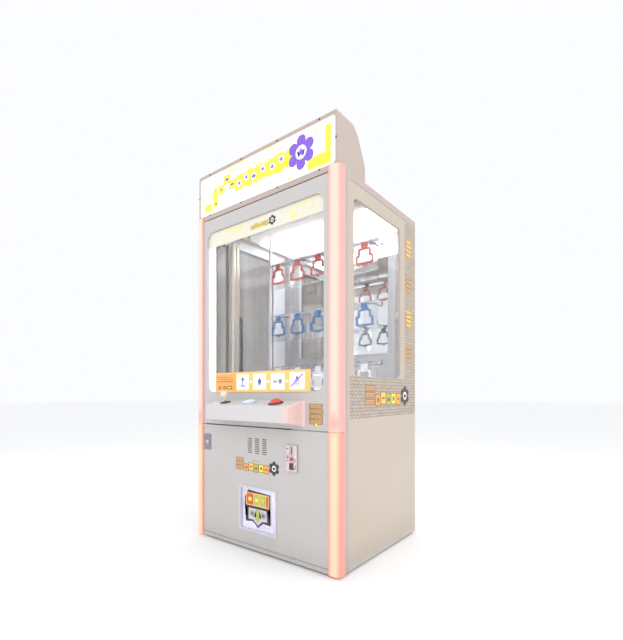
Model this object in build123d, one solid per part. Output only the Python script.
from build123d import *

import math
import os

# Key-type prize machine: a glazed cabinet on a lower locker, with a lit marquee on top.
# Working axes while building: x from the cabinet's left face, y back from its front
# plane, z up from the floor, all in millimetres.  write_parts() moves every piece so
# that the origin is the bottom centre of the whole machine.

# ---- overall sizes ----
BODY_WIDTH = 930.0
BODY_DEPTH = 750.0
BODY_HEIGHT = 1718.0
MARQUEE_HEIGHT = 250.0
FOOT_HEIGHT = 12.0
SEAM_HEIGHT = 608.0
REAR_PROUD = 4.0

# ---- walls and gaps ----
SIDE_THICKNESS = 18.0
DOOR_THICKNESS = 18.0
BASE_THICKNESS = 18.0
ROOF_THICKNESS = 18.0
SHELL_WALL = 3.0
PANEL_GAP = 2.0
SEAM_GAP = 6.0
RUNNING_FIT = 0.05
SLIDE_FIT = 0.5
BODY_CLEARANCE = 2.0

# ---- corner light posts and uprights ----
POST_FRONT = 48.0
POST_SIDE = 35.0
POST_PROUD = 7.0
POST_RADIUS = 26.0
POST_WALL = 3.0
TRIM_END = 83.0
TRIM_GROOVE = 58.0
TRIM_THICKNESS = 5.0
UPRIGHT_SIZE = 36.0
UPRIGHT_WALL = 2.5
LED_THICKNESS = 3.0

# ---- windows ----
WINDOW_SIDE = 78.0
WINDOW_SILL = 172.0
WINDOW_HEAD = 91.0
WINDOW_RADIUS = 46.0
GLASS = 5.0
GLASS_LAP = 14.0
HEADER_HEIGHT = 80.0
SIDE_WINDOW_FRONT = 115.0
SIDE_WINDOW_REAR = 183.0
SIDE_WINDOW_SILL = 238.0
SIDE_WINDOW_HEAD = 98.0
SIDE_WINDOW_RADIUS = 26.0
SIDE_SPLIT = 54.0
ROOF_SKIRT = 34.0
LIGHT_STRIP_LEFT = 60.0
LIGHT_STRIP_WIDTH = 36.0
LIGHT_STRIP_DEPTH = 10.0

# ---- door pivots ----
PIVOT_INSET = 5.0
PIVOT_PIN = 3.0
PIVOT_DEPTH = 14.0
PIVOT_PLATE = 3.0

# ---- marquee ----
MARQUEE_SIDE = 10.0
MARQUEE_DEPTH = 226.0
MARQUEE_FACE = 228.0
MARQUEE_CREST = 72.0
MARQUEE_BROW = 110.0
MARQUEE_BROW_DROP = 8.0
MARQUEE_SLOPE = 168.0
MARQUEE_SLOPE_DROP = 63.0
MARQUEE_HEEL = 78.0
MARQUEE_ROUNDS = (5.0, 40.0, 60.0, 80.0, 40.0)
MARQUEE_END_ROUND = 38.0
SIGN_SIDE = 9.0
SIGN_RADIUS = 16.0
SIGN_RIM = 8.0
SIGN_BROW = 10.0
SIGN_LAP = 4.0
SIGN_THICKNESS = 4.0
MARQUEE_SCREW = 3.8

# ---- console ----
CONSOLE_LEFT = 180.0
CONSOLE_RIGHT = 179.0
CONSOLE_REACH = 100.0
CONSOLE_BASE_LOW = 15.0
CONSOLE_BASE_HIGH = 131.0
CONSOLE_NOSE_LOW = 35.0
CONSOLE_NOSE_HIGH = 108.0
CONSOLE_FLARE = 15.0
CONSOLE_WALL = 4.0
CONTROL_SETBACK = 60.0
STICK_FROM_LEFT = 117.0
BLUE_FROM_LEFT = 285.0
RED_FROM_LEFT = 453.0
CARD_LEFT = 150.0
CARD_RIGHT = 146.0
CARD_LOW = 168.0
CARD_HEIGHT = 100.0
CARD_THICKNESS = 4.0

# ---- joystick ----
STICK_PIVOT_DEPTH = 24.0
STICK_RADIUS = 4.0
STICK_HOLE = 15.0
BALL_RADIUS = 21.0
BALL_HEIGHT = 40.0
GIMBAL_OUTER = 34.0
GIMBAL_INNER = 20.0
GIMBAL_HEIGHT = 8.0
TRUNNION = 2.5

# ---- push buttons ----
BUTTON_TRAVEL = 4.0
RED_RADIUS = 27.0
RED_DOME = 15.0
BLUE_RADIUS = 31.0
BLUE_DOME = 8.0
BEZEL_WIDTH = 8.0
BEZEL_HEIGHT = 5.0
BUTTON_STEM = 12.0
COLLAR_WALL = 3.0
COLLAR_DEPTH = 26.0
HOLE_GAP = 0.3

# ---- lower door fittings ----
LOCK_X = 83.0
LOCK_Z = 513.0
LOCK_PLATE_WIDTH = 54.0
LOCK_PLATE_HEIGHT = 83.0
LOCK_RADIUS = 9.5
CAM_LENGTH = 34.0
CAM_SETBACK = 10.0
KEEPER_THICKNESS = 3.0
LOUVRE_LOW = 480.0
LOUVRE_COUNT = 9
LOUVRE_PITCH = 8.6
LOUVRE_HEIGHT = 3.6
LOUVRE_WIDTH = 32.0
LOUVRE_LEFT = (389.0, 438.0, 487.0)
COIN_RIGHT = 252.0
COIN_Z = 478.0
COIN_WIDTH = 67.0
COIN_HEIGHT = 123.0
COIN_PLATE = 6.0
COIN_SLOT_WIDTH = 5.0
COIN_SLOT_HEIGHT = 32.0
PRIZE_LEFT = 331.0
PRIZE_WIDTH = 252.0
PRIZE_LOW = 97.0
PRIZE_HEIGHT = 221.0
PRIZE_RIM = 10.0
SLEEVE_INSET = 3.0
WELL_INSET = 6.0
PRIZE_FLAP = 4.0
FLAP_GAP = 1.5

# ---- rear panel ----
VENT_ROWS = 8
VENT_LOW = 260.0
VENT_PITCH = 22.0
VENT_HEIGHT = 6.0
VENT_WIDTH = 180.0
INLET_WIDTH = 50.0
INLET_HEIGHT = 34.0

# ---- inside of the glazed cabinet ----
DECK_RISE = 78.0
DECK_THICKNESS = 10.0
RAIL_Y = 150.0
RAIL_SIZE = 20.0
MAST_HOME_X = 122.0
MAST_SIZE = 40.0
GUIDE_SIZE = 30.0
GUIDE_GAP = 4.0
CHAIN_WIDTH = 18.0
MAST_BAY = 176.0
TARGET_COLUMNS = 5
TARGET_ROWS = 3
TARGET_PLANE = 363.0
PLATE_THICKNESS = 5.0
PLATE_GAP = 5.0
PLATE_HEIGHT = 156.0
TARGET_WIDTH = 98.0
TARGET_BODY_HEIGHT = 84.0
TARGET_NECK = 38.0
TARGET_SHOULDER = 70.0
TARGET_STEP = 52.0
TARGET_BAND = 9.0
TARGET_THICKNESS = 8.0
TARGET_TIP = 9.0
TARGET_LIFT = 24.0
HOOK_LENGTH = 120.0
HOOK_RADIUS = 3.0
CARRIAGE_HEIGHT = 60.0
CARRIAGE_DEPTH = 46.0
PUSHER_OFFSET = 38.0
PUSHER_RADIUS = 6.0
PUSHER_BACK = 70.0
KEY_LENGTH = 100.0
KEY_WIDTH = 34.0
KEY_HEIGHT = 40.0
KEY_TIP_GAP = 8.0
CEILING_LIGHT_DEPTH = 300.0
MIRROR_SIDE = 115.0
MIRROR_LOW = 395.0

# ---- lower locker contents ----
CHUTE_MARGIN = 2.0
CHUTE_BACK = 640.0
CHUTE_THROAT = 400.0
CHUTE_LOW = 80.0
CHUTE_TUNNEL = 345.0
CHUTE_RISE = 150.0
CASH_BOX_WIDTH = 150.0
CASH_BOX_DEPTH = 180.0
CASH_BOX_HEIGHT = 140.0

# ---- values worked out from the sizes above ----
WALL_LEFT = SIDE_THICKNESS
WALL_RIGHT = BODY_WIDTH - SIDE_THICKNESS
FLOOR_TOP = FOOT_HEIGHT + BASE_THICKNESS
ROOF_LOW = BODY_HEIGHT - ROOF_THICKNESS
FRONT_DOOR_LEFT = POST_FRONT + PANEL_GAP
FRONT_DOOR_RIGHT = BODY_WIDTH - POST_FRONT - PANEL_GAP
UPPER_DOOR_LOW = SEAM_HEIGHT + SEAM_GAP / 2
UPPER_DOOR_HIGH = ROOF_LOW - SEAM_GAP
LOWER_DOOR_LOW = FLOOR_TOP + SEAM_GAP
LOWER_DOOR_HIGH = SEAM_HEIGHT - SEAM_GAP / 2
DOOR_BACK = DOOR_THICKNESS
DECK_TOP = SEAM_HEIGHT + DECK_RISE
REAR_DOOR_LOW = DECK_TOP + SEAM_GAP
REAR_DOOR_FRONT = BODY_DEPTH - DOOR_THICKNESS
SILL = SEAM_HEIGHT + WINDOW_SILL
HEAD = BODY_HEIGHT - WINDOW_HEAD
SIDE_SILL = SEAM_HEIGHT + SIDE_WINDOW_SILL
SIDE_HEAD = BODY_HEIGHT - SIDE_WINDOW_HEAD
SIDE_TOP = BODY_HEIGHT - ROOF_SKIRT
SIDE_SPLIT_HEIGHT = SEAM_HEIGHT + SIDE_SPLIT
FRONT_UPRIGHT_Y = DOOR_BACK + BODY_CLEARANCE + LED_THICKNESS
REAR_UPRIGHT_Y = REAR_DOOR_FRONT - BODY_CLEARANCE - UPRIGHT_SIZE
UPRIGHT_X = TRIM_THICKNESS + 1.0
RACK_RIGHT = WALL_RIGHT - PLATE_GAP / 2
RACK_LEFT = WALL_LEFT + MAST_BAY
COLUMN_PITCH = (RACK_RIGHT - RACK_LEFT) / TARGET_COLUMNS
PLATE_WIDTH = COLUMN_PITCH - PLATE_GAP
RACK_LOW = DECK_TOP + 84.0
RACK_HIGH = BODY_HEIGHT - 192.0
ROW_PITCH = (RACK_HIGH - RACK_LOW - PLATE_HEIGHT) / (TARGET_ROWS - 1)
CONSOLE_SLOPE = math.atan2(CONSOLE_BASE_HIGH - CONSOLE_NOSE_HIGH, CONSOLE_REACH)
TOTAL_DEPTH = CONSOLE_REACH + BODY_DEPTH + REAR_PROUD
FRONT_Y = CONSOLE_REACH - TOTAL_DEPTH / 2

ORIGIN_SHIFT = Location((-BODY_WIDTH / 2, FRONT_Y, 0))


def block(x0, x1, y0, y1, z0, z1):
    """A box between two corners."""
    size = Box(x1 - x0, y1 - y0, z1 - z0, align=(Align.MIN, Align.MIN, Align.MIN))
    return size.moved(Location((x0, y0, z0)))


def rounded_slab(x0, x1, z0, z1, y0, y1, radius):
    """A slab across the front with rounded corners, from y0 back to y1."""
    with BuildPart() as slab:
        with BuildSketch(Plane.XZ.offset(-y0)):
            with Locations(((x0 + x1) / 2, (z0 + z1) / 2)):
                RectangleRounded(x1 - x0, z1 - z0, radius)
        extrude(amount=-(y1 - y0))
    return slab.part


def side_slab(y0, y1, z0, z1, x0, x1, radius):
    """A slab along a side wall with rounded corners, from x0 to x1."""
    with BuildPart() as slab:
        with BuildSketch(Plane.YZ.offset(x0)):
            with Locations(((y0 + y1) / 2, (z0 + z1) / 2)):
                RectangleRounded(y1 - y0, z1 - z0, radius)
        extrude(amount=x1 - x0)
    return slab.part


def rod(start, end, radius):
    """A round bar between two points."""
    line = Vector(*end) - Vector(*start)
    plane = Plane(origin=start, z_dir=line)
    bar = Cylinder(radius, line.length, align=(Align.CENTER, Align.CENTER, Align.MIN))
    return plane.location * bar


def side_profile(points, x0, x1):
    """A solid with one outline in y and z, carried from x0 to x1."""
    with BuildPart() as body:
        with BuildSketch(Plane.YZ.offset(x0)):
            with BuildLine():
                Polyline(*points, close=True)
            make_face()
        extrude(amount=x1 - x0)
    return body.part


def tube_upright(x0, y0, z0, z1):
    """A square steel tube standing at x0, y0."""
    outer = block(x0, x0 + UPRIGHT_SIZE, y0, y0 + UPRIGHT_SIZE, z0, z1)
    near = UPRIGHT_WALL
    far = UPRIGHT_SIZE - UPRIGHT_WALL
    inner = block(x0 + near, x0 + far, y0 + near, y0 + far, z0 - 1, z1 + 1)
    return outer - inner


def mirrored(shape):
    """The same piece on the other side of the cabinet's middle plane."""
    middle = Plane.YZ.offset(BODY_WIDTH / 2)
    return mirror(shape, about=middle)


# ---- cabinet structure ----

def notched_board(z0, z1):
    """A full-size board that leaves room for the light posts and their trim."""
    main = block(0, BODY_WIDTH, TRIM_END, BODY_DEPTH, z0, z1)
    front = block(TRIM_THICKNESS, BODY_WIDTH - TRIM_THICKNESS, POST_SIDE, TRIM_END, z0, z1)
    lip = block(POST_FRONT, BODY_WIDTH - POST_FRONT, 0, POST_SIDE, z0, z1)
    return main + front + lip


def base_plate():
    """The floor of the cabinet, notched round the light posts, with foot holes."""
    plate = notched_board(FOOT_HEIGHT, FLOOR_TOP)
    for x, y in foot_places():
        hole = rod((x, y, FOOT_HEIGHT - 1), (x, y, FLOOR_TOP + 1), 6.2)
        plate = plate - hole
    return plate


def foot_places():
    """Centres of the four levelling feet."""
    inset = 90.0
    return [
        (x, y)
        for x in (inset, BODY_WIDTH - inset)
        for y in (inset, BODY_DEPTH - inset)
    ]


def levelling_feet():
    """Four feet: a ribbed pad, a threaded stem and its lock nut."""
    feet = []
    for x, y in foot_places():
        pad = rod((x, y, 0), (x, y, FOOT_HEIGHT - 4), 24)
        pad = chamfer(pad.edges().group_by(Axis.Z)[-1], 3)
        neck = rod((x, y, FOOT_HEIGHT - 4), (x, y, FOOT_HEIGHT), 12)
        stem = rod((x, y, FOOT_HEIGHT), (x, y, FLOOR_TOP + 22), 6)
        feet.append(pad + neck + stem)
    return feet


def foot_nuts():
    """Lock nuts on the feet, on top of the base plate."""
    nuts = []
    for x, y in foot_places():
        with BuildPart() as nut:
            with BuildSketch(Plane.XY.offset(FLOOR_TOP)):
                with Locations((x, y)):
                    RegularPolygon(10, 6)
                    Circle(6.2, mode=Mode.SUBTRACT)
            extrude(amount=9)
        nuts.append(nut.part)
    return nuts


def lock_keepers():
    """The plates on two uprights that the lock cams turn behind."""
    x0 = UPRIGHT_X + UPRIGHT_SIZE
    y0 = FRONT_UPRIGHT_Y
    front = block(x0, x0 + 20, y0, y0 + KEEPER_THICKNESS, LOCK_Z - 20, LOCK_Z + 20)
    x1 = WALL_RIGHT - UPRIGHT_SIZE
    y1 = REAR_UPRIGHT_Y + UPRIGHT_SIZE
    z = rear_lock_place()[1]
    rear = block(x1 - 20, x1, y1 - KEEPER_THICKNESS, y1, z - 20, z + 20)
    return [front, rear]


def uprights():
    """Four square tubes that join the base, the roof and the walls, with lock keepers."""
    tubes = lock_keepers()
    for y0 in (FRONT_UPRIGHT_Y, REAR_UPRIGHT_Y):
        left = tube_upright(UPRIGHT_X if y0 < TRIM_END else WALL_LEFT, y0, FLOOR_TOP, ROOF_LOW)
        tubes.append(left)
        tubes.append(mirrored(left))
    return tubes


def corner_trim():
    """Folded trim beside each light post, with a groove down its middle."""
    strip = block(-1, TRIM_THICKNESS, POST_SIDE, TRIM_END, FOOT_HEIGHT, BODY_HEIGHT)
    groove = block(-2, 1.5, TRIM_GROOVE - 1, TRIM_GROOVE + 1, FOOT_HEIGHT - 1, BODY_HEIGHT + 1)
    left = strip - groove
    return [left, mirrored(left)]


def post_cover(z0, z1):
    """One translucent corner cover: an L-shaped shell with a rounded outer corner."""
    with BuildPart() as cover:
        with BuildSketch(Plane.XY.offset(z0)):
            with BuildLine():
                FilletPolyline(
                    (-POST_PROUD, POST_SIDE - 0.5),
                    (-POST_PROUD, -POST_PROUD),
                    (POST_FRONT, -POST_PROUD),
                    radius=POST_RADIUS,
                )
                Line((POST_FRONT, -POST_PROUD), (POST_FRONT, POST_WALL))
                Line((POST_FRONT, POST_WALL), (POST_FRONT - POST_WALL, POST_WALL))
                Line((POST_FRONT - POST_WALL, POST_WALL), (POST_FRONT - POST_WALL, POST_WALL - POST_PROUD))
                FilletPolyline(
                    (POST_FRONT - POST_WALL, POST_WALL - POST_PROUD),
                    (POST_WALL - POST_PROUD, POST_WALL - POST_PROUD),
                    (POST_WALL - POST_PROUD, POST_SIDE - 0.5 - POST_WALL),
                    radius=POST_RADIUS - POST_WALL,
                )
                Line((POST_WALL - POST_PROUD, POST_SIDE - 0.5 - POST_WALL), (1, POST_SIDE - 0.5 - POST_WALL))
                Line((1, POST_SIDE - 0.5 - POST_WALL), (1, POST_SIDE - 0.5))
                Line((1, POST_SIDE - 0.5), (-POST_PROUD, POST_SIDE - 0.5))
            make_face()
        extrude(amount=z1 - z0)
    return cover.part


def led_strip(z0, z1):
    """A light strip behind one post cover, on the front of its upright."""
    left = UPRIGHT_X + 4
    right = UPRIGHT_X + UPRIGHT_SIZE - 4
    return block(left, right, FRONT_UPRIGHT_Y - LED_THICKNESS, FRONT_UPRIGHT_Y, z0, z1)


def roof_panel():
    """The roof: a board notched for the posts, with a skirt over each side wall."""
    board = notched_board(ROOF_LOW, BODY_HEIGHT)
    skirt = block(0, SIDE_THICKNESS, TRIM_END, BODY_DEPTH, SIDE_TOP + PANEL_GAP, ROOF_LOW)
    return board + skirt + mirrored(skirt)


def side_wall_upper():
    """A glazed upper side wall: a board with a rounded window and a glass rebate."""
    wall = block(0, SIDE_THICKNESS, TRIM_END, BODY_DEPTH, SIDE_SPLIT_HEIGHT, SIDE_TOP)
    y0 = SIDE_WINDOW_FRONT
    y1 = BODY_DEPTH - SIDE_WINDOW_REAR
    window = side_slab(y0, y1, SIDE_SILL, SIDE_HEAD, -1, SIDE_THICKNESS + 1, SIDE_WINDOW_RADIUS)
    lap = GLASS_LAP
    rebate = side_slab(
        y0 - lap, y1 + lap, SIDE_SILL - lap, SIDE_HEAD + lap,
        SIDE_THICKNESS - GLASS - 1, SIDE_THICKNESS + 1, SIDE_WINDOW_RADIUS + lap,
    )
    return wall - window - rebate


def side_glass():
    """The glass in a side wall's rebate."""
    lap = GLASS_LAP - PANEL_GAP
    y0 = SIDE_WINDOW_FRONT - lap
    y1 = BODY_DEPTH - SIDE_WINDOW_REAR + lap
    x0 = SIDE_THICKNESS - GLASS - 1
    return side_slab(y0, y1, SIDE_SILL - lap, SIDE_HEAD + lap, x0, x0 + GLASS, SIDE_WINDOW_RADIUS + lap)


def side_wall_lower():
    """A plain lower side wall."""
    return block(0, SIDE_THICKNESS, TRIM_END, BODY_DEPTH, FLOOR_TOP, SIDE_SPLIT_HEIGHT - PANEL_GAP / 2)


def rear_lower_panel():
    """The fixed rear panel of the locker, with vent slots and the inlet's cut-out."""
    panel = block(WALL_LEFT, WALL_RIGHT, REAR_DOOR_FRONT, BODY_DEPTH, FLOOR_TOP, DECK_TOP)
    for row in range(VENT_ROWS):
        z = VENT_LOW + row * VENT_PITCH
        for x in (BODY_WIDTH * 0.3, BODY_WIDTH * 0.7):
            half = VENT_WIDTH / 2
            slot = block(x - half, x + half, REAR_DOOR_FRONT - 1, BODY_DEPTH + 1, z, z + VENT_HEIGHT)
            panel = panel - slot
    x, z = inlet_place()
    cut = block(
        x - INLET_WIDTH / 2 + 4, x + INLET_WIDTH / 2 - 4, REAR_DOOR_FRONT - 1, BODY_DEPTH + 1,
        z - INLET_HEIGHT / 2 + 4, z + INLET_HEIGHT / 2 - 4,
    )
    return panel - cut


def inlet_place():
    """Centre of the mains inlet on the rear panel."""
    return BODY_WIDTH - 150.0, FLOOR_TOP + 110.0


def mains_inlet():
    """A three-pin appliance inlet: flange, recess and pins."""
    x, z = inlet_place()
    flange = block(
        x - INLET_WIDTH / 2, x + INLET_WIDTH / 2, BODY_DEPTH, BODY_DEPTH + REAR_PROUD,
        z - INLET_HEIGHT / 2, z + INLET_HEIGHT / 2,
    )
    half_w = INLET_WIDTH / 2 - 4.5
    half_h = INLET_HEIGHT / 2 - 4.5
    body = block(x - half_w, x + half_w, BODY_DEPTH - 26, BODY_DEPTH, z - half_h, z + half_h)
    recess = block(x - 12.5, x + 12.5, BODY_DEPTH - 14, BODY_DEPTH + 5, z - 8.5, z + 8.5)
    inlet = flange + body - recess
    for dx, dz in ((-7, -2), (0, 3), (7, -2)):
        pin = block(x + dx - 1, x + dx + 1, BODY_DEPTH - 14, BODY_DEPTH - 5, z + dz - 2, z + dz + 2)
        inlet = inlet + pin
    return inlet


def pivot_bracket(pin_x, pin_y, post_x, post_y, z, up, down):
    """A steel plate on an upright, carrying a door's pivot pins up and down."""
    arm_low = min(pin_x, post_x) - 7 if post_x < pin_x else pin_x - 7
    arm_high = max(pin_x, post_x) + 7 if post_x < pin_x else post_x
    eye = rod((pin_x, pin_y, z), (pin_x, pin_y, z + PIVOT_PLATE), PIVOT_INSET)
    reach = block(pin_x - PIVOT_INSET, pin_x + PIVOT_INSET, min(pin_y, post_y), max(pin_y, post_y),
                  z, z + PIVOT_PLATE)
    side_y = (post_y - 13, post_y) if post_y > pin_y else (post_y, post_y + 13)
    arm = block(arm_low, arm_high, side_y[0], side_y[1], z, z + PIVOT_PLATE)
    bracket = eye + reach + arm
    if up:
        top = z + PIVOT_PLATE + PIVOT_DEPTH - 2
        bracket = bracket + rod((pin_x, pin_y, z), (pin_x, pin_y, top), PIVOT_PIN)
    if down:
        bracket = bracket + rod((pin_x, pin_y, z - PIVOT_DEPTH + 2), (pin_x, pin_y, z + 1), PIVOT_PIN)
    return bracket


def front_pivot():
    """Plan position of the two front doors' pivot line, at their right edge."""
    return FRONT_DOOR_RIGHT - PIVOT_INSET, PIVOT_INSET


def rear_pivot():
    """Plan position of the rear door's pivot line, at its left edge."""
    return WALL_LEFT + PANEL_GAP + PIVOT_INSET, BODY_DEPTH - PIVOT_INSET


def pivot_brackets():
    """Three brackets for the front doors and two for the rear door."""
    x, y = front_pivot()
    post_x = BODY_WIDTH - UPRIGHT_X
    base = FLOOR_TOP + (SEAM_GAP - PIVOT_PLATE) / 2
    middle = SEAM_HEIGHT - PIVOT_PLATE / 2
    top = ROOF_LOW - (SEAM_GAP + PIVOT_PLATE) / 2
    parts = [
        pivot_bracket(x, y, post_x, FRONT_UPRIGHT_Y, base, True, False),
        pivot_bracket(x, y, post_x, FRONT_UPRIGHT_Y, middle, True, True),
        pivot_bracket(x, y, post_x, FRONT_UPRIGHT_Y, top, False, True),
    ]
    x, y = rear_pivot()
    post_x = WALL_LEFT + UPRIGHT_SIZE
    post_y = REAR_UPRIGHT_Y + UPRIGHT_SIZE
    low = DECK_TOP + (SEAM_GAP - PIVOT_PLATE) / 2
    parts.append(pivot_bracket(x, y, post_x, post_y, low, True, False))
    parts.append(pivot_bracket(x, y, post_x, post_y, top, False, True))
    return parts


# ---- doors ----

def pivot_panel(x0, x1, y0, y1, z0, z1, pin_x, pin_y):
    """A door board with pin holes and its outer pivot edge rounded about the pins."""
    board = block(x0, x1, y0, y1, z0, z1)
    front = pin_y < (y0 + y1) / 2
    outer_x = x1 if pin_x > (x0 + x1) / 2 else x0
    outer_y = y0 if front else y1
    edge = [
        e for e in board.edges().filter_by(Axis.Z)
        if abs(e.center().X - outer_x) < 0.01 and abs(e.center().Y - outer_y) < 0.01
    ]
    board = fillet(edge, PIVOT_INSET - 0.05)
    hole = PIVOT_PIN + RUNNING_FIT
    low = rod((pin_x, pin_y, z0 - 1), (pin_x, pin_y, z0 + PIVOT_DEPTH), hole)
    high = rod((pin_x, pin_y, z1 - PIVOT_DEPTH), (pin_x, pin_y, z1 + 1), hole)
    return board - low - high


def upper_door():
    """The glazed front door: a board with a rounded window and a glass rebate."""
    x, y = front_pivot()
    door = pivot_panel(FRONT_DOOR_LEFT, FRONT_DOOR_RIGHT, 0, DOOR_BACK, UPPER_DOOR_LOW, UPPER_DOOR_HIGH, x, y)
    window = rounded_slab(WINDOW_SIDE, BODY_WIDTH - WINDOW_SIDE, SILL, HEAD, -1, DOOR_BACK + 1, WINDOW_RADIUS)
    lap = GLASS_LAP
    rebate = rounded_slab(
        WINDOW_SIDE - lap, BODY_WIDTH - WINDOW_SIDE + lap, SILL - lap, HEAD + lap,
        DOOR_BACK - GLASS - 1, DOOR_BACK + 1, WINDOW_RADIUS + lap,
    )
    return door - window - rebate


def front_glass():
    """The glass in the upper door's rebate."""
    lap = GLASS_LAP - PANEL_GAP
    y0 = DOOR_BACK - GLASS - 1
    return rounded_slab(
        WINDOW_SIDE - lap, BODY_WIDTH - WINDOW_SIDE + lap, SILL - lap, HEAD + lap, y0, y0 + GLASS,
        WINDOW_RADIUS + lap,
    )


def header_band():
    """A printed band on the outside of the glass, along the top of the window."""
    y1 = DOOR_BACK - GLASS - 1
    band = rounded_slab(
        WINDOW_SIDE + 1, BODY_WIDTH - WINDOW_SIDE - 1, SILL, HEAD - 1, y1 - 1, y1, WINDOW_RADIUS - 1,
    )
    below = block(0, BODY_WIDTH, y1 - 2, y1 + 1, SILL - 1, HEAD - HEADER_HEIGHT)
    return band - below


def instruction_card():
    """The card with the playing steps, across the foot of the window."""
    return rounded_slab(
        CARD_LEFT, BODY_WIDTH - CARD_RIGHT, SEAM_HEIGHT + CARD_LOW, SEAM_HEIGHT + CARD_LOW + CARD_HEIGHT,
        -CARD_THICKNESS, 0, 10,
    )


def console_section(depth, inset, grow):
    """One upright section of the console at a distance in front of the door."""
    share = depth / CONSOLE_REACH
    low = SEAM_HEIGHT + CONSOLE_BASE_LOW + (CONSOLE_NOSE_LOW - CONSOLE_BASE_LOW) * share
    high = SEAM_HEIGHT + CONSOLE_BASE_HIGH + (CONSOLE_NOSE_HIGH - CONSOLE_BASE_HIGH) * share
    left = CONSOLE_LEFT + inset + grow
    right = BODY_WIDTH - CONSOLE_RIGHT - inset - grow
    with BuildSketch(Plane.XZ.offset(depth)) as sketch:
        with Locations(((left + right) / 2, (low + high) / 2)):
            RectangleRounded(right - left, high - low - 2 * grow, 8)
    return sketch.sketch


def console_loft(grow, reach):
    """The console's outer or inner form: its ends sweep inwards from the door."""
    stations = ((0.0, 0.0), (0.08, 0.55), (0.25, 0.85), (1.0, 1.0))
    sections = [
        console_section(share * reach, CONSOLE_FLARE * swept, grow)
        for share, swept in stations
    ]
    return loft(sections, ruled=True)


def control_plane(x):
    """A plane on the console's top, with its normal straight out of the surface."""
    share = CONTROL_SETBACK / CONSOLE_REACH
    z = SEAM_HEIGHT + CONSOLE_BASE_HIGH + (CONSOLE_NOSE_HIGH - CONSOLE_BASE_HIGH) * share
    normal = (0, -math.sin(CONSOLE_SLOPE), math.cos(CONSOLE_SLOPE))
    return Plane(origin=(x, -CONTROL_SETBACK, z), x_dir=(1, 0, 0), z_dir=normal)


def at_control(x, shape):
    """Put a shape that was made about the origin on the console's top."""
    return control_plane(x).location * shape


def disc(radius, z0, z1):
    """A round slab about the z axis."""
    return Pos(0, 0, z0) * Cylinder(radius, z1 - z0, align=(Align.CENTER, Align.CENTER, Align.MIN))


def stick_x():
    """Centre of the joystick along the console."""
    return CONSOLE_LEFT + STICK_FROM_LEFT


def blue_x():
    """Centre of the blue button along the console."""
    return CONSOLE_LEFT + BLUE_FROM_LEFT


def red_x():
    """Centre of the red button along the console."""
    return CONSOLE_LEFT + RED_FROM_LEFT


def control_holes():
    """Each control's place along the console and the hole that it needs."""
    return (
        (stick_x(), STICK_HOLE),
        (blue_x(), BLUE_RADIUS - 2 + HOLE_GAP),
        (red_x(), RED_RADIUS - 2 + HOLE_GAP),
    )


def console_shell():
    """The console: a swept hollow shell, open to the door, drilled for its controls."""
    shell = console_loft(0, CONSOLE_REACH)
    hollow = console_loft(CONSOLE_WALL, CONSOLE_REACH - CONSOLE_WALL)
    shell = shell - hollow
    for x, radius in control_holes():
        shell = shell - at_control(x, disc(radius, -20, 20))
    return shell


def joystick_base():
    """The housing under the console that carries the gimbal's trunnions."""
    half = GIMBAL_OUTER / 2 + 10
    top = -CONSOLE_WALL - 1
    low = -STICK_PIVOT_DEPTH - 12
    standing = (Align.CENTER, Align.CENTER, Align.MIN)
    housing = Pos(0, 0, low) * Box(2 * half, 2 * half, top - low, align=standing)
    hollow = Pos(0, 0, low - 1) * Box(2 * half - 8, 2 * half - 8, top - low + 2, align=standing)
    housing = housing - hollow
    bore = rod((-half - 1, 0, -STICK_PIVOT_DEPTH), (half + 1, 0, -STICK_PIVOT_DEPTH), TRUNNION + RUNNING_FIT)
    return at_control(stick_x(), housing - bore)


def joystick_gimbal():
    """The ring that tilts about its trunnions and carries the stick's cross pin."""
    half = GIMBAL_OUTER / 2 + 9.5
    low = -STICK_PIVOT_DEPTH - GIMBAL_HEIGHT / 2
    ring = disc(GIMBAL_OUTER / 2, low, low + GIMBAL_HEIGHT)
    ring = ring - disc(GIMBAL_INNER / 2, -STICK_PIVOT_DEPTH - GIMBAL_HEIGHT, 0)
    left = rod((-half, 0, -STICK_PIVOT_DEPTH), (-GIMBAL_INNER / 2 - 1, 0, -STICK_PIVOT_DEPTH), TRUNNION)
    right = rod((GIMBAL_INNER / 2 + 1, 0, -STICK_PIVOT_DEPTH), (half, 0, -STICK_PIVOT_DEPTH), TRUNNION)
    ring = ring + left + right
    bore = rod((0, -half, -STICK_PIVOT_DEPTH), (0, half, -STICK_PIVOT_DEPTH), TRUNNION + RUNNING_FIT)
    return at_control(stick_x(), ring - bore)


def joystick_shaft():
    """The stick with its cross pin."""
    shaft = disc(STICK_RADIUS, -STICK_PIVOT_DEPTH - 10, BALL_HEIGHT - BALL_RADIUS + 6)
    reach = GIMBAL_OUTER / 2 - 0.5
    pin = rod((0, -reach, -STICK_PIVOT_DEPTH), (0, reach, -STICK_PIVOT_DEPTH), TRUNNION)
    return at_control(stick_x(), shaft + pin)


def joystick_ball():
    """The ball grip, bored for the stick."""
    ball = Pos(0, 0, BALL_HEIGHT) * Sphere(BALL_RADIUS)
    foot = disc(STICK_RADIUS + 4, BALL_HEIGHT - BALL_RADIUS - 4, BALL_HEIGHT - BALL_RADIUS + 6)
    hole = disc(STICK_RADIUS, 0, BALL_HEIGHT - BALL_RADIUS + 6)
    return at_control(stick_x(), ball + foot - hole)


def joystick_bezel():
    """The dished ring round the stick, on top of the console."""
    ring = disc(STICK_HOLE + 12, 0, 3) - disc(STICK_HOLE, -1, 4)
    ring = chamfer(ring.edges().filter_by(GeomType.CIRCLE).group_by(Axis.Z)[-1].sort_by(SortBy.RADIUS)[-1], 2)
    return at_control(stick_x(), ring)


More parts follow.
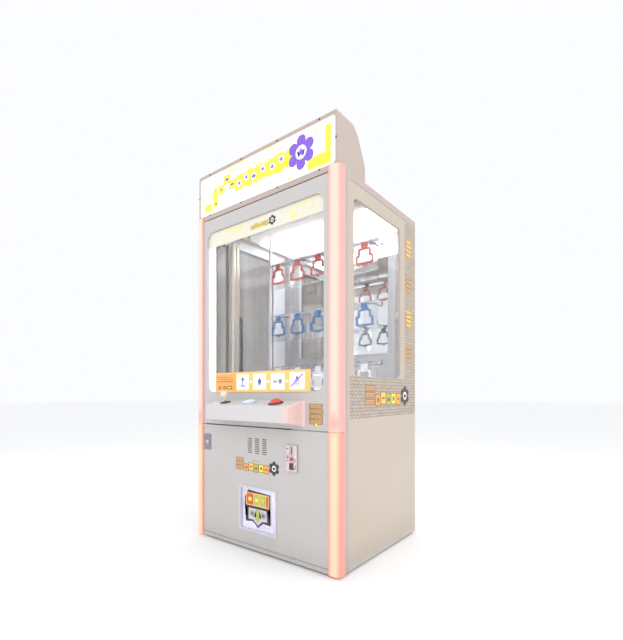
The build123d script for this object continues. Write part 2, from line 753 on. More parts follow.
def button_bezel(x, radius):
    """A button's bezel and the collar that passes through the console."""
    ring = disc(radius + BEZEL_WIDTH, 0, BEZEL_HEIGHT)
    ring = fillet(ring.edges().group_by(Axis.Z)[-1], 3)
    collar = disc(radius - 2, -COLLAR_DEPTH, 0)
    bore = disc(radius - 2 - COLLAR_WALL, -COLLAR_DEPTH + 3, BEZEL_HEIGHT + 1)
    well = disc(radius + SLIDE_FIT, BEZEL_HEIGHT - 3, BEZEL_HEIGHT + 1)
    stem = disc(BUTTON_STEM / 2 + RUNNING_FIT, -COLLAR_DEPTH - 1, 0)
    return at_control(x, ring + collar - bore - well - stem)


def button_cap(x, radius, dome):
    """A domed push cap with its guide stem."""
    base = BEZEL_HEIGHT - 3 + BUTTON_TRAVEL + SLIDE_FIT
    skirt = disc(radius, base, base + 2)
    guide = disc(radius - 2 - COLLAR_WALL - SLIDE_FIT, base - 4, base)
    ball_radius = (radius * radius + dome * dome) / (2 * dome)
    ball = Pos(0, 0, base + 2 + dome - ball_radius) * Sphere(ball_radius)
    crown = ball & disc(radius, base + 2, base + 3 + dome)
    stem = disc(BUTTON_STEM / 2, -COLLAR_DEPTH, base)
    return at_control(x, skirt + guide + crown + stem)


def prize_rect(inset):
    """The prize opening's outline, drawn in by an inset: left, right, low, high."""
    return (
        PRIZE_LEFT + inset, PRIZE_LEFT + PRIZE_WIDTH - inset,
        PRIZE_LOW + inset, PRIZE_LOW + PRIZE_HEIGHT - inset,
    )


def coin_x():
    """Centre of the coin plate."""
    return BODY_WIDTH - COIN_RIGHT


def lower_door():
    """The locker door, cut for the lock, the louvres, the coin plate and the prize frame."""
    x, y = front_pivot()
    door = pivot_panel(FRONT_DOOR_LEFT, FRONT_DOOR_RIGHT, 0, DOOR_BACK, LOWER_DOOR_LOW, LOWER_DOOR_HIGH, x, y)
    x0, x1, z0, z1 = prize_rect(SLEEVE_INSET)
    door = door - rounded_slab(x0, x1, z0, z1, -1, DOOR_BACK + 1, 12)
    half_w = COIN_WIDTH / 2 - 8
    half_h = COIN_HEIGHT / 2 - 8
    x = coin_x()
    door = door - block(x - half_w, x + half_w, -1, DOOR_BACK + 1, COIN_Z - half_h, COIN_Z + half_h)
    door = door - rod((LOCK_X, -1, LOCK_Z), (LOCK_X, DOOR_BACK + 1, LOCK_Z), LOCK_RADIUS + RUNNING_FIT)
    for left in LOUVRE_LEFT:
        for row in range(LOUVRE_COUNT):
            z = LOUVRE_LOW + row * LOUVRE_PITCH
            door = door - block(left, left + LOUVRE_WIDTH, -1, DOOR_BACK + 1, z, z + LOUVRE_HEIGHT)
    return door


def lock_plate():
    """The dark escutcheon round the locker lock."""
    half_w = LOCK_PLATE_WIDTH / 2
    half_h = LOCK_PLATE_HEIGHT / 2
    plate = rounded_slab(LOCK_X - half_w, LOCK_X + half_w, LOCK_Z - half_h, LOCK_Z + half_h, -3, 0, 4)
    return plate - rod((LOCK_X, -5, LOCK_Z), (LOCK_X, 1, LOCK_Z), LOCK_RADIUS + RUNNING_FIT)


def cam_lock(x, z, face, back, reach):
    """A barrel lock along y with a keyway and a cam behind its door."""
    step = 1 if back > face else -1
    nose = face - REAR_PROUD * step
    barrel = rod((x, nose, z), (x, back + (CAM_SETBACK + 6) * step, z), LOCK_RADIUS)
    way = block(x - 1, x + 1, min(nose - step, face), max(nose - step, face), z - 4, z + 4)
    cam_y = sorted((back + CAM_SETBACK * step, back + (CAM_SETBACK + 3) * step))
    cam = block(x - 8, x + 8, cam_y[0], cam_y[1], z, z + reach)
    return barrel - way + cam


def locker_lock():
    """The lower door's lock."""
    return cam_lock(LOCK_X, LOCK_Z, 0, DOOR_BACK, CAM_LENGTH)


def coin_plate():
    """The coin plate: a slot at its head, a return cup at its foot."""
    x = coin_x()
    half_w = COIN_WIDTH / 2
    half_h = COIN_HEIGHT / 2
    plate = rounded_slab(x - half_w, x + half_w, COIN_Z - half_h, COIN_Z + half_h, -COIN_PLATE, 0, 6)
    slot_z = COIN_Z + half_h - 26
    half_slot = COIN_SLOT_WIDTH / 2
    slot = block(
        x - half_slot, x + half_slot, -COIN_PLATE - 1, 1,
        slot_z - COIN_SLOT_HEIGHT / 2, slot_z + COIN_SLOT_HEIGHT / 2,
    )
    cup_x0, cup_x1, cup_z0, cup_z1 = return_cup()
    window = block(cup_x0, cup_x1, -COIN_PLATE - 1, 1, cup_z0, cup_z1)
    plate = plate - slot - window
    cup = block(cup_x0 - 2, cup_x1 + 2, 0, 30, cup_z0 - 2, cup_z1 + 2)
    cup = cup - block(cup_x0, cup_x1, -1, 28, cup_z0, cup_z1)
    button = rod((x, -COIN_PLATE - 1, COIN_Z - 2), (x, 1, COIN_Z - 2), 8 + SLIDE_FIT)
    return plate + cup - button


def return_cup():
    """The coin return cup's opening: left, right, low, high."""
    x = coin_x()
    low = COIN_Z - COIN_HEIGHT / 2 + 12
    return x - 20, x + 20, low, low + 30


def coin_return_button():
    """The round button that frees a stuck coin."""
    x = coin_x()
    head = rod((x, -COIN_PLATE - 4, COIN_Z - 2), (x, 2, COIN_Z - 2), 8)
    stem = rod((x, 2, COIN_Z - 2), (x, 20, COIN_Z - 2), 3)
    return head + stem


def coin_mech():
    """The coin validator behind the plate, with a slot for the coin and one for its exit."""
    x = coin_x()
    half_w = COIN_WIDTH / 2 - 10
    top = COIN_Z + COIN_HEIGHT / 2 - 10
    body = block(x - half_w, x + half_w, 24, 92, COIN_Z + 6, top)
    slot_z = COIN_Z + COIN_HEIGHT / 2 - 26
    slot = block(x - 3, x + 3, 23, 80, slot_z - 18, slot_z + 18)
    drop = block(x - 3, x + 3, 60, 80, COIN_Z, slot_z)
    chute = block(x - 9, x + 9, 52, 88, COIN_Z - 190, COIN_Z + 6)
    bore = block(x - 5, x + 5, 56, 84, COIN_Z - 191, COIN_Z + 7)
    return body - slot - drop + (chute - bore)


def prize_bezel():
    """The frame round the prize opening and the sleeve that carries the flap's pins."""
    x0, x1, z0, z1 = prize_rect(0)
    flange = rounded_slab(x0, x1, z0, z1, -3, 0, 14)
    x0, x1, z0, z1 = prize_rect(SLEEVE_INSET + HOLE_GAP)
    sleeve = rounded_slab(x0, x1, z0, z1, 0, DOOR_BACK, 11)
    x0, x1, z0, z1 = prize_rect(PRIZE_RIM)
    window = rounded_slab(x0, x1, z0, z1, -7, 5, 8)
    x0, x1, z0, z1 = prize_rect(WELL_INSET)
    well = rounded_slab(x0, x1, z0, z1, 4, DOOR_BACK + 1, 6)
    x0, x1, z, y = flap_pin()
    pin = rod((x0 - 2.2, y, z), (x1 + 2.2, y, z), TRUNNION + RUNNING_FIT)
    return flange + sleeve - window - well - pin


def flap_pin():
    """The flap's pin line: its two ends along x, its height and its depth."""
    x0, x1, _, z1 = prize_rect(WELL_INSET)
    return x0, x1, z1 - 7, 5 + FLAP_GAP + PRIZE_FLAP / 2


def prize_flap():
    """The flap that a player pushes in to take a prize."""
    x0, x1, z, y = flap_pin()
    _, _, low, _ = prize_rect(WELL_INSET)
    y0 = y - PRIZE_FLAP / 2
    plate = rounded_slab(x0 + FLAP_GAP, x1 - FLAP_GAP, low + FLAP_GAP, z + 3, y0, y0 + PRIZE_FLAP, 7)
    knuckle = rod((x0 + FLAP_GAP, y, z), (x1 - FLAP_GAP, y, z), PRIZE_FLAP)
    pin = rod((x0 - 2, y, z), (x1 + 2, y, z), TRUNNION)
    return plate + knuckle + pin


def speaker():
    """A small speaker behind the middle louvres."""
    x = (LOUVRE_LEFT[0] + LOUVRE_LEFT[-1] + LOUVRE_WIDTH) / 2
    z = LOUVRE_LOW + LOUVRE_COUNT * LOUVRE_PITCH / 2
    plane = Plane(origin=(x, DOOR_BACK, z), z_dir=(0, 1, 0))
    rim = disc(52, 0, 5) - disc(44, -1, 6)
    with BuildPart() as cone:
        with BuildSketch(Plane.XZ):
            with BuildLine():
                Polyline((12, 22), (45, 2), (45, 4.5), (14, 24.5), (12, 24.5), close=True)
            make_face()
        revolve(axis=Axis.Z)
    magnet = disc(26, 24, 40)
    cap = disc(13, 20, 24.5)
    return plane.location * (rim + cone.part + cap + magnet)


def rear_door():
    """The service door at the back of the glazed cabinet."""
    x, y = rear_pivot()
    left = WALL_LEFT + PANEL_GAP
    right = WALL_RIGHT - PANEL_GAP
    door = pivot_panel(left, right, REAR_DOOR_FRONT, BODY_DEPTH, REAR_DOOR_LOW, UPPER_DOOR_HIGH, x, y)
    x, z = rear_lock_place()
    return door - rod((x, REAR_DOOR_FRONT - 1, z), (x, BODY_DEPTH + 1, z), LOCK_RADIUS + RUNNING_FIT)


def rear_lock_place():
    """Centre of the rear door's lock."""
    return WALL_RIGHT - UPRIGHT_SIZE - 41, (REAR_DOOR_LOW + UPPER_DOOR_HIGH) / 2


def rear_lock():
    """The rear door's lock; its cam lies behind the door's inner face."""
    x, z = rear_lock_place()
    return cam_lock(x, z, BODY_DEPTH, REAR_DOOR_FRONT, CAM_LENGTH)


def rear_mirror():
    """The mirror on the inside of the rear door."""
    left = MIRROR_SIDE
    right = BODY_WIDTH - MIRROR_SIDE - 40
    low = SEAM_HEIGHT + MIRROR_LOW
    return rounded_slab(left, right, low, HEAD, REAR_DOOR_FRONT - 4, REAR_DOOR_FRONT, 6)


# ---- inside of the glazed cabinet ----

def deck():
    """The floor of the glazed cabinet, notched for the uprights, open to the chute."""
    low = DECK_TOP - DECK_THICKNESS
    front = block(UPRIGHT_X + UPRIGHT_SIZE + 1, BODY_WIDTH - UPRIGHT_X - UPRIGHT_SIZE - 1,
                  DOOR_BACK + BODY_CLEARANCE, TRIM_END, low, DECK_TOP)
    main = block(WALL_LEFT, WALL_RIGHT, TRIM_END, REAR_UPRIGHT_Y - 1, low, DECK_TOP)
    rear = block(WALL_LEFT + UPRIGHT_SIZE + 1, WALL_RIGHT - UPRIGHT_SIZE - 1,
                 REAR_UPRIGHT_Y - 1, REAR_DOOR_FRONT, low, DECK_TOP)
    hole = block(chute_left() + SHELL_WALL, chute_right() - SHELL_WALL,
                 CHUTE_THROAT + SHELL_WALL, CHUTE_BACK - SHELL_WALL, low - 1, DECK_TOP + 1)
    return front + main + rear - hole


def chute_left():
    """Outer left face of the prize chute."""
    return PRIZE_LEFT + WELL_INSET - CHUTE_MARGIN - SHELL_WALL


def chute_right():
    """Outer right face of the prize chute."""
    return PRIZE_LEFT + PRIZE_WIDTH - WELL_INSET + CHUTE_MARGIN + SHELL_WALL


def prize_chute():
    """A bent sheet chute from the deck down to the prize flap."""
    front = DOOR_BACK + BODY_CLEARANCE
    top = DECK_TOP - DECK_THICKNESS
    wall = SHELL_WALL
    outer = side_profile(
        [
            (front, CHUTE_LOW), (front, CHUTE_TUNNEL), (CHUTE_THROAT, CHUTE_TUNNEL),
            (CHUTE_THROAT, top), (CHUTE_BACK, top), (CHUTE_BACK, CHUTE_LOW + CHUTE_RISE),
        ],
        chute_left(), chute_right(),
    )
    inner = side_profile(
        [
            (front - 1, CHUTE_LOW + wall), (front - 1, CHUTE_TUNNEL - wall),
            (CHUTE_THROAT + wall, CHUTE_TUNNEL - wall), (CHUTE_THROAT + wall, top + 1),
            (CHUTE_BACK - wall, top + 1), (CHUTE_BACK - wall, CHUTE_LOW + CHUTE_RISE + wall),
        ],
        chute_left() + wall, chute_right() - wall,
    )
    return outer - inner


def cash_box():
    """The open steel box under the coin validator."""
    x0 = coin_x() - CASH_BOX_WIDTH / 2
    y0 = DOOR_BACK + 22
    outer = block(x0, x0 + CASH_BOX_WIDTH, y0, y0 + CASH_BOX_DEPTH, FLOOR_TOP, FLOOR_TOP + CASH_BOX_HEIGHT)
    inner = block(x0 + 2, x0 + CASH_BOX_WIDTH - 2, y0 + 2, y0 + CASH_BOX_DEPTH - 2,
                  FLOOR_TOP + 2, FLOOR_TOP + CASH_BOX_HEIGHT + 1)
    return outer - inner


def power_supply():
    """The mains power supply on the base, with cooling slots in its lid."""
    y0 = BODY_DEPTH - 300
    case = block(80, 280, y0, y0 + 110, FLOOR_TOP, FLOOR_TOP + 52)
    for row in range(9):
        x = 100 + row * 18
        case = case - block(x, x + 8, y0 + 15, y0 + 95, FLOOR_TOP + 48, FLOOR_TOP + 53)
    return case


def control_board():
    """The main board on its stand-offs, with its larger parts."""
    y0 = 300.0
    z0 = 240.0
    x = WALL_LEFT
    parts = block(x + 8, x + 10, y0, y0 + 200, z0, z0 + 150)
    for dy in (10, 190):
        for dz in (10, 140):
            parts = parts + rod((x, y0 + dy, z0 + dz), (x + 8, y0 + dy, z0 + dz), 4)
    for dy, dz, size, height in ((60, 80, 30, 4), (120, 90, 22, 6), (150, 40, 26, 14), (50, 30, 34, 10)):
        parts = parts + block(x + 10, x + 10 + height, y0 + dy, y0 + dy + size, z0 + dz, z0 + dz + size)
    return parts


def gantry_rails():
    """The lower and upper cross rails that the mast runs on."""
    half = RAIL_SIZE / 2
    low = block(WALL_LEFT, WALL_RIGHT, RAIL_Y - half, RAIL_Y + half, DECK_TOP, DECK_TOP + RAIL_SIZE)
    top_z = SIDE_HEAD + 2
    high = block(WALL_LEFT, WALL_RIGHT, RAIL_Y - half, RAIL_Y + half, top_z, top_z + RAIL_SIZE)
    return [low, high]


def mast_shoes():
    """The shoes that straddle the two cross rails."""
    half = RAIL_SIZE / 2
    x0 = guide_left()
    x1 = MAST_HOME_X + 34
    low_z = DECK_TOP + RAIL_SIZE + SLIDE_FIT
    low = block(x0, x1, RAIL_Y - half - 8, RAIL_Y + half + 8, DECK_TOP + 6, low_z + 16)
    low = low - block(x0 - 1, x1 + 1, RAIL_Y - half - SLIDE_FIT, RAIL_Y + half + SLIDE_FIT, DECK_TOP, low_z)
    high_z = SIDE_HEAD + 2 - SLIDE_FIT
    high = block(x0, x1, RAIL_Y - half - 8, RAIL_Y + half + 8, high_z - 16, high_z + 14)
    grip = half + SLIDE_FIT
    high = high - block(x0 - 1, x1 + 1, RAIL_Y - grip, RAIL_Y + grip, high_z, high_z + 20)
    return [low, high]


def mast_span():
    """Lower and upper end of the mast's profiles, between its shoes."""
    low = DECK_TOP + RAIL_SIZE + SLIDE_FIT + 16
    high = SIDE_HEAD + 2 - SLIDE_FIT - 16
    return low, high


def slotted_profile(x0, y0, size, z0, z1):
    """A square extrusion with a slot along each face."""
    bar = block(x0, x0 + size, y0, y0 + size, z0, z1)
    mid_x = x0 + size / 2
    mid_y = y0 + size / 2
    half = size / 10
    deep = size / 7
    for a, b, c, d in (
        (mid_x - half, mid_x + half, y0 - 1, y0 + deep),
        (mid_x - half, mid_x + half, y0 + size - deep, y0 + size + 1),
        (x0 - 1, x0 + deep, mid_y - half, mid_y + half),
        (x0 + size - deep, x0 + size + 1, mid_y - half, mid_y + half),
    ):
        bar = bar - block(a, b, c, d, z0 - 1, z1 + 1)
    return bar


def mast_profile():
    """The mast: a wide slotted profile and the slim guide profile beside it."""
    z0, z1 = mast_span()
    half = MAST_SIZE / 2
    main = slotted_profile(MAST_HOME_X - half, RAIL_Y - half, MAST_SIZE, z0, z1)
    return main


def guide_left():
    """Left face of the dark guide, which stands just left of the mast."""
    return MAST_HOME_X - MAST_SIZE / 2 - GUIDE_GAP - GUIDE_SIZE


def guide_profile():
    """The dark guide beside the mast and the lift rail on the mast's back."""
    z0, z1 = mast_span()
    guide = slotted_profile(guide_left(), RAIL_Y - GUIDE_SIZE / 2, GUIDE_SIZE, z0, z1)
    y0 = RAIL_Y + MAST_SIZE / 2
    lift = block(MAST_HOME_X - 6, MAST_HOME_X + 6, y0, y0 + 10, z0, z1)
    return [guide, lift]


def column_x(column):
    """Centre of one column of targets."""
    return RACK_LEFT + (column + 0.5) * COLUMN_PITCH


def row_z(row):
    """Lower edge of one row of clear plates; row 0 is the lowest."""
    return RACK_LOW + row * ROW_PITCH


def hole_z(row):
    """Centre of the keyholes in one row."""
    return row_z(row) + TARGET_LIFT + TARGET_TIP + TARGET_BODY_HEIGHT / 2


def target_outline():
    """The keyhole frame's outline: a wide foot, a narrower head, a ridged neck and a tip."""
    top = TARGET_TIP + TARGET_BODY_HEIGHT
    with BuildSketch(Plane.XZ) as face:
        with Locations((0, TARGET_TIP + TARGET_STEP / 2)):
            RectangleRounded(TARGET_WIDTH, TARGET_STEP, 13)
        with Locations((0, top - TARGET_BODY_HEIGHT / 2)):
            RectangleRounded(TARGET_SHOULDER, TARGET_BODY_HEIGHT, 13)
        for rise, width in ((0, TARGET_NECK - 8), (9, TARGET_NECK), (21, TARGET_NECK - 4)):
            with Locations((0, top + rise + 3)):
                RectangleRounded(width, 10, 3)
        with Locations((0, top + 12)):
            Rectangle(TARGET_NECK - 12, 26)
        with BuildLine():
            Polyline((-14, TARGET_TIP + 1), (0, 0), (14, TARGET_TIP + 1), close=True)
        make_face()
    return face.sketch


def target_hole(y0, y1):
    """The keyhole that is cut through a frame and its plate."""
    band = TARGET_BAND
    wide = TARGET_WIDTH / 2 - band
    slim = TARGET_SHOULDER / 2 - band
    low = TARGET_TIP + band
    foot = rounded_slab(-wide, wide, low, TARGET_TIP + TARGET_STEP - band, y0, y1, 6)
    head = rounded_slab(-slim, slim, low, TARGET_TIP + TARGET_BODY_HEIGHT - band, y0, y1, 6)
    return foot + head


def target_frames(row):
    """One row of keyhole frames, on the front of the clear plates."""
    ring = extrude(target_outline(), amount=TARGET_THICKNESS) - target_hole(-TARGET_THICKNESS - 1, 1)
    z = row_z(row) + TARGET_LIFT
    return [
        ring.moved(Location((column_x(column), TARGET_PLANE, z)))
        for column in range(TARGET_COLUMNS)
    ]


def clear_plates():
    """The clear plates behind the keyhole frames, one to each target."""
    plates = []
    for row in range(TARGET_ROWS):
        for column in range(TARGET_COLUMNS):
            x = column_x(column)
            half = PLATE_WIDTH / 2
            z0 = row_z(row)
            plate = rounded_slab(x - half, x + half, z0, z0 + PLATE_HEIGHT,
                                 TARGET_PLANE, TARGET_PLANE + PLATE_THICKNESS, 6)
            hole = target_hole(-1, PLATE_THICKNESS + 1)
            hole = hole.moved(Location((x, TARGET_PLANE, z0 + TARGET_LIFT)))
            plates.append(plate - hole)
    return plates


def rack_frame():
    """A post and three cross rails that carry the clear plates."""
    y0 = TARGET_PLANE + PLATE_THICKNESS
    parts = [block(RACK_LEFT - 12, RACK_LEFT, y0, y0 + 12, DECK_TOP, ROOF_LOW)]
    for row in range(TARGET_ROWS):
        top = row_z(row) + PLATE_HEIGHT
        parts.append(block(RACK_LEFT, WALL_RIGHT, y0, y0 + 5, top - 14, top - 2))
    return parts


def prize_hooks():
    """A bracket and an upturned hook behind the head of each target."""
    y0 = TARGET_PLANE + PLATE_THICKNESS + 5
    hooks = []
    for row in range(TARGET_ROWS):
        z = row_z(row) + PLATE_HEIGHT - 8
        for column in range(TARGET_COLUMNS):
            x = column_x(column) + 26
            bracket = block(x - 11, x + 11, y0, y0 + 14, z - 8, z + 10)
            tip = y0 + HOOK_LENGTH
            path = FilletPolyline((x, y0 + 13, z), (x, tip, z), (x, tip, z + 26), radius=10)
            section = Plane(origin=path @ 0, z_dir=path % 0) * Circle(HOOK_RADIUS)
            hooks.append(bracket + sweep(section, path=path))
    return hooks


def key_x():
    """Where the key stands at rest along x."""
    return MAST_HOME_X + PUSHER_OFFSET


def key_carriage():
    """The block that rides up the mast's lift rail and guides the pusher."""
    z = hole_z(0)
    y0 = RAIL_Y + MAST_SIZE / 2 + 1
    z0 = z - CARRIAGE_HEIGHT / 2
    body = block(MAST_HOME_X - 18, key_x() + 14, y0, y0 + CARRIAGE_DEPTH, z0, z0 + CARRIAGE_HEIGHT)
    channel = block(
        MAST_HOME_X - 6 - SLIDE_FIT, MAST_HOME_X + 6 + SLIDE_FIT, y0 - 1, y0 + 9 + SLIDE_FIT,
        z0 - 1, z0 + CARRIAGE_HEIGHT + 1,
    )
    bore = rod((key_x(), y0 - 1, z), (key_x(), y0 + CARRIAGE_DEPTH + 1, z), PUSHER_RADIUS + RUNNING_FIT)
    motor = block(MAST_HOME_X - 16, MAST_HOME_X + 14, y0 + 12, y0 + CARRIAGE_DEPTH, z0 - 34, z0)
    return body + motor - channel - bore


def key_pusher():
    """The push rod and, on its end, the key that is driven into a keyhole."""
    z = hole_z(0)
    tip = TARGET_PLANE - TARGET_THICKNESS - KEY_TIP_GAP
    root = tip - KEY_LENGTH
    bar = rod((key_x(), PUSHER_BACK, z), (key_x(), root, z), PUSHER_RADIUS)
    half_w = KEY_WIDTH / 2
    half_h = KEY_HEIGHT / 2
    blade = rounded_slab(key_x() - half_w, key_x() + half_w, z - half_h, z + half_h, root, tip, 7)
    for dx in (-half_w - 1, half_w - 6):
        notch = block(key_x() + dx, key_x() + dx + 7, root + 30, tip - 20, z - 6, z + 6)
        blade = blade - notch
    return [bar, blade]


def drag_chain():
    """The cable chain that loops beside the mast."""
    y = RAIL_Y + 66
    x0 = guide_left() + (GUIDE_SIZE - CHAIN_WIDTH) / 2
    x1 = x0 + CHAIN_WIDTH
    low = DECK_TOP + 40
    loop = DECK_TOP + 500
    with BuildPart() as chain:
        with BuildSketch(Plane.YZ.offset(x0)):
            with Locations((y, (low + loop) / 2)):
                SlotCenterToCenter(loop - low, 56, rotation=90)
                SlotCenterToCenter(loop - low, 30, rotation=90, mode=Mode.SUBTRACT)
        extrude(amount=x1 - x0)
    strap = block(x0, x0 + 4, RAIL_Y + GUIDE_SIZE / 2, RAIL_Y + 40, low + 60, low + 90)
    return chain.part + strap


def interior_lights():
    """The lit ceiling panel and the two lit strips beside the front window."""
    ceiling = block(
        WINDOW_SIDE, BODY_WIDTH - WINDOW_SIDE, TARGET_PLANE + 40, TARGET_PLANE + 40 + CEILING_LIGHT_DEPTH,
        ROOF_LOW - 22, ROOF_LOW,
    )
    y0 = FRONT_UPRIGHT_Y + 10
    x0 = LIGHT_STRIP_LEFT
    strip = block(x0, x0 + LIGHT_STRIP_WIDTH, y0, y0 + LIGHT_STRIP_DEPTH, DECK_TOP, HEAD)
    return [ceiling, strip, mirrored(strip)]


# ---- marquee ----

def drawn_in(points, inset):
    """An outline's points moved inwards: every run shifts square to itself, then the runs meet again."""
    runs = []
    for (y0, z0), (y1, z1) in zip(points, points[1:]):
        length = math.hypot(y1 - y0, z1 - z0)
        dy = (y1 - y0) / length
        dz = (z1 - z0) / length
        runs.append((y0 + dz * inset, z0 - dy * inset, y1 + dz * inset, z1 - dy * inset, dy, dz))
    moved = [runs[0][:2]]
    for before, after in zip(runs, runs[1:]):
        turn = before[4] * after[5] - before[5] * after[4]
        along = ((after[0] - before[0]) * after[5] - (after[1] - before[1]) * after[4]) / turn
        moved.append((before[0] + along * before[4], before[1] + along * before[5]))
    moved.append(runs[-1][2:4])
    return moved


def marquee_profile(inset):
    """The marquee's outline in y and z, drawn in by an inset and rounded."""
    foot = BODY_HEIGHT
    crest = BODY_HEIGHT + MARQUEE_HEIGHT
    outline = [
        (0, foot),
        (0, foot + MARQUEE_FACE),
        (MARQUEE_CREST, crest),
        (MARQUEE_BROW, crest - MARQUEE_BROW_DROP),
        (MARQUEE_SLOPE, crest - MARQUEE_SLOPE_DROP),
        (MARQUEE_DEPTH, foot + MARQUEE_HEEL),
        (MARQUEE_DEPTH, foot),
    ]
    points = drawn_in(outline, inset)
    rounds = tuple(radius - inset for radius in MARQUEE_ROUNDS)
    with BuildSketch(Plane.YZ) as face:
        with BuildLine():
            FilletPolyline(*points, radius=rounds)
            Line(points[-1], points[0])
        make_face()
    return face.sketch


def sign_rect(inset):
    """The sign window's outline, drawn in by an inset: left, right, low, high."""
    return (
        MARQUEE_SIDE + SIGN_SIDE + inset, BODY_WIDTH - MARQUEE_SIDE - SIGN_SIDE - inset,
        BODY_HEIGHT + SIGN_RIM + inset, BODY_HEIGHT + MARQUEE_FACE - SIGN_RIM - SIGN_BROW - inset,
    )


def marquee_housing():
    """The marquee's sheet housing, open below and windowed in front."""
    left = MARQUEE_SIDE
    right = BODY_WIDTH - MARQUEE_SIDE
    crest = BODY_HEIGHT + MARQUEE_HEIGHT
    outer = extrude(marquee_profile(0), amount=right - left)
    outer = outer.moved(Location((left, 0, 0)))
    inner = extrude(marquee_profile(SHELL_WALL), amount=right - left - 2 * SHELL_WALL)
    inner = inner.moved(Location((left + SHELL_WALL, 0, 0)))
    inner = inner & rounded_slab(
        left + SHELL_WALL, right - SHELL_WALL, SEAM_HEIGHT, crest - SHELL_WALL,
        -1, MARQUEE_DEPTH + 1, MARQUEE_END_ROUND - SHELL_WALL,
    )
    x0, x1, z0, z1 = sign_rect(0)
    window = rounded_slab(x0, x1, z0, z1, -1, SHELL_WALL + 1, SIGN_RADIUS)
    ends = rounded_slab(left, right, SEAM_HEIGHT, crest, -1, MARQUEE_DEPTH + 1, MARQUEE_END_ROUND)
    housing = (outer & ends) - inner - window
    for x, z in marquee_screw_places():
        housing = housing - rod((x, -1, z), (x, SHELL_WALL + 1, z), 1.6)
    return housing


def marquee_sign():
    """The lit sign panel behind the housing's window."""
    x0, x1, z0, z1 = sign_rect(-SIGN_LAP)
    return rounded_slab(x0, x1, z0, z1, SHELL_WALL, SHELL_WALL + SIGN_THICKNESS, SIGN_RADIUS + SIGN_LAP)


def marquee_screw_places():
    """Centres of the screws round the sign: along the top, the foot and each side."""
    left = MARQUEE_SIDE + SIGN_SIDE / 2
    edge = (SIGN_RIM + SIGN_BROW) / 2
    xs = [MARQUEE_SIDE + (BODY_WIDTH - 2 * MARQUEE_SIDE) * (0.1 + 0.2667 * step) for step in range(4)]
    low = BODY_HEIGHT + SIGN_RIM / 2
    high = BODY_HEIGHT + MARQUEE_FACE - edge
    middle = (low + high) / 2
    places = [(left, middle), (BODY_WIDTH - left, middle)]
    places += [(x, low) for x in xs]
    places += [(x, high) for x in xs]
    return places


def marquee_screws():
    """Button-head screws that hold the sign's frame."""
    screws = []
    for x, z in marquee_screw_places():
        head = rod((x, -2, z), (x, 0, z), MARQUEE_SCREW)
        shank = rod((x, 0, z), (x, SHELL_WALL, z), 1.5)
        screws.append(head + shank)
    return screws


def marquee_lamps():
    """Two tube lamps behind the sign."""
    lamps = []
    for share in (0.3, 0.62):
        z = BODY_HEIGHT + MARQUEE_HEIGHT * share
        x0 = MARQUEE_SIDE + 40
        x1 = BODY_WIDTH - MARQUEE_SIDE - 40
        tube = rod((x0, 56, z), (x1, 56, z), 13)
        for x in (x0, x1 - 20):
            tube = tube + block(x, x + 20, 42, 70, z - 20, z + 16)
        lamps.append(tube)
    return lamps


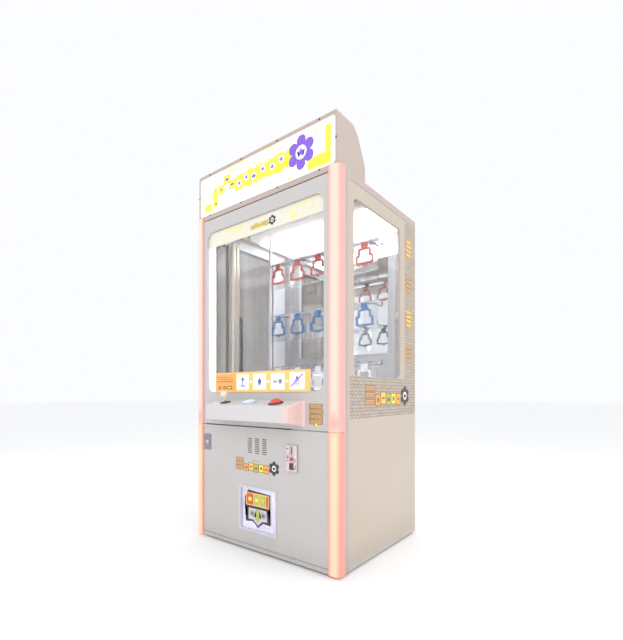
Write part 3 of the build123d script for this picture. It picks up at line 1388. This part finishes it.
def write_parts():
    """Write each piece to parts/NAME.step, moved to the machine's own origin."""
    gap = PANEL_GAP / 2
    low_cover = post_cover(FOOT_HEIGHT, SEAM_HEIGHT - gap)
    high_cover = post_cover(SEAM_HEIGHT + gap, BODY_HEIGHT)
    low_led = led_strip(FLOOR_TOP + 12, SEAM_HEIGHT - 12)
    high_led = led_strip(SEAM_HEIGHT + 12, ROOF_LOW - 12)
    upper_wall = side_wall_upper()
    lower_wall = side_wall_lower()
    glass = side_glass()
    bezels = [
        joystick_bezel(),
        button_bezel(red_x(), RED_RADIUS),
        button_bezel(blue_x(), BLUE_RADIUS),
    ]
    parts = {
        "base_plate": base_plate(),
        "levelling_feet": levelling_feet() + foot_nuts(),
        "uprights": uprights(),
        "corner_trim": corner_trim(),
        "post_covers_lower": [low_cover, mirrored(low_cover)],
        "post_covers_upper": [high_cover, mirrored(high_cover)],
        "post_led_strips": [low_led, mirrored(low_led), high_led, mirrored(high_led)],
        "roof_panel": roof_panel(),
        "upper_side_walls": [upper_wall, mirrored(upper_wall)],
        "lower_side_walls": [lower_wall, mirrored(lower_wall)],
        "side_glass": [glass, mirrored(glass)],
        "rear_lower_panel": rear_lower_panel(),
        "mains_inlet": mains_inlet(),
        "pivot_brackets": pivot_brackets(),
        "upper_door": upper_door(),
        "front_glass": front_glass(),
        "front_cards": [header_band(), instruction_card()],
        "console_shell": console_shell(),
        "joystick_base": joystick_base(),
        "joystick_gimbal": joystick_gimbal(),
        "joystick_shaft": joystick_shaft(),
        "joystick_ball": joystick_ball(),
        "control_bezels": bezels,
        "red_button": button_cap(red_x(), RED_RADIUS, RED_DOME),
        "blue_button": button_cap(blue_x(), BLUE_RADIUS, BLUE_DOME),
        "lower_door": lower_door(),
        "lock_plate": lock_plate(),
        "locker_lock": locker_lock(),
        "coin_plate": coin_plate(),
        "coin_return_button": coin_return_button(),
        "coin_mech": coin_mech(),
        "prize_bezel": prize_bezel(),
        "prize_flap": prize_flap(),
        "speaker": speaker(),
        "prize_chute": prize_chute(),
        "cash_box": cash_box(),
        "power_supply": power_supply(),
        "control_board": control_board(),
        "rear_door": rear_door(),
        "rear_lock": rear_lock(),
        "rear_mirror": rear_mirror(),
        "deck": deck(),
        "gantry_rails": gantry_rails(),
        "mast_shoes": mast_shoes(),
        "mast_profile": mast_profile(),
        "mast_guides": guide_profile(),
        "drag_chain": drag_chain(),
        "key_carriage": key_carriage(),
        "key_pusher": key_pusher(),
        "target_frames_bottom": target_frames(0),
        "target_frames_middle": target_frames(1),
        "target_frames_top": target_frames(2),
        "clear_plates": clear_plates(),
        "rack_frame": rack_frame(),
        "prize_hooks": prize_hooks(),
        "interior_lights": interior_lights(),
        "marquee_housing": marquee_housing(),
        "marquee_sign": marquee_sign(),
        "marquee_screws": marquee_screws(),
        "marquee_lamps": marquee_lamps(),
    }
    os.makedirs("parts", exist_ok=True)
    for name, piece in parts.items():
        solids = piece if isinstance(piece, list) else [piece]
        moved = [solid.moved(ORIGIN_SHIFT) for solid in solids]
        shape = moved[0] if len(moved) == 1 else Compound(children=moved)
        export_step(shape, f"parts/{name}.step")


write_parts()
